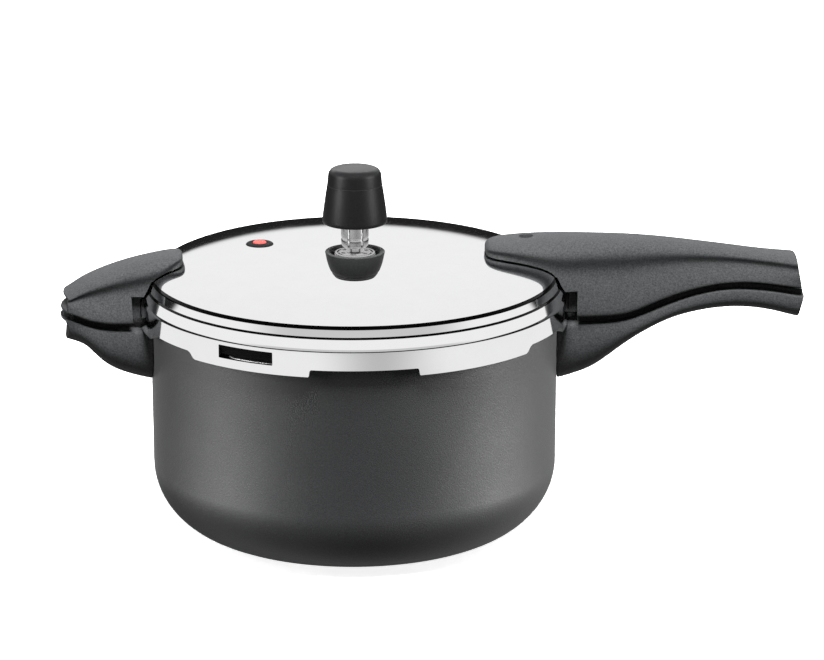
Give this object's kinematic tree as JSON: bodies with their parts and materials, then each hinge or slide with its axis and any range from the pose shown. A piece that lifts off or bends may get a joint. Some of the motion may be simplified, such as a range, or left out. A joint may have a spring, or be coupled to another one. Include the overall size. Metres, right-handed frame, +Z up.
{
  "type": "stovetop pressure cooker",
  "caption": "Stovetop pressure cooker: bayonet lid with sealing ring, weighted regulator, safety valve and lock pin, on a rounded pot with a long and a short double handle.",
  "frame": {"origin": "centre of the pot's flat base, on the surface it stands on", "axes": "+Z up along the pot's axis, +X along the long handle, the regulator towards -Y"},
  "size_m": [0.4032, 0.2314, 0.2108],
  "materials": {
    "nonstick": "matte non-stick coating",
    "polished": "polished",
    "phenolic": "fine grain",
    "steel": "satin",
    "rubber": "matte",
    "black": "satin",
    "red": "matte"
  },
  "bodies": {
    "pot": {"pot_body": "nonstick", "body_long_handle": "phenolic", "body_long_bracket": "steel", "body_long_rivet_lower": "steel", "body_long_rivet_upper": "steel", "body_long_screw": "steel", "body_helper_handle": "phenolic", "body_helper_bracket": "steel", "body_helper_rivet_lower": "steel", "body_helper_rivet_upper": "steel", "body_helper_screw": "steel"},
    "seal": {"sealing_ring": "rubber"},
    "lid": {"lid_shell": "polished", "lid_long_handle": "phenolic", "lid_helper_handle": "phenolic", "lid_handle_screw_nose": "steel", "lid_handle_screw_front": "steel", "lid_handle_screw_back": "steel", "lid_helper_screw_front": "steel", "lid_helper_screw_back": "steel", "lock_pin_grommet": "rubber", "vent_cup": "black", "vent_plate": "steel", "vent_pipe": "steel", "vent_gasket": "rubber", "vent_nut": "steel", "safety_valve_seat": "rubber"},
    "lock_pin": {"lock_pin": "steel"},
    "safety_pin": {"safety_valve_pin": "red"},
    "weight_guide": {"weight_sleeve": "steel"},
    "weight": {"weight_core": "steel", "weight_cap": "black", "weight_top": "black"}
  },
  "joints": [
    {"name": "lid_lift", "type": "slide", "parent": "pot", "child": "seal", "axis": [0, 0, 1], "range_m": [0, 0.12]},
    {"name": "lid_twist", "type": "hinge", "parent": "seal", "child": "lid", "pos_m": [0, 0, 0.125], "axis": [0, 0, 1], "range_deg": [0, 30]},
    {"name": "weight_lift", "type": "slide", "parent": "lid", "child": "weight_guide", "axis": [0, 0, 1], "range_m": [0, 0.03]},
    {"name": "weight_spin", "type": "hinge", "parent": "weight_guide", "child": "weight", "pos_m": [-0.0016, -0.048, 0.19], "axis": [0, 0, 1], "continuous": true},
    {"name": "lock_pin_rise", "type": "slide", "parent": "lid", "child": "lock_pin", "axis": [0, 0, 1], "range_m": [0, 0.004]},
    {"name": "safety_pin_pop", "type": "slide", "parent": "lid", "child": "safety_pin", "axis": [0, 0, 1], "range_m": [0, 0.003]}
  ]
}
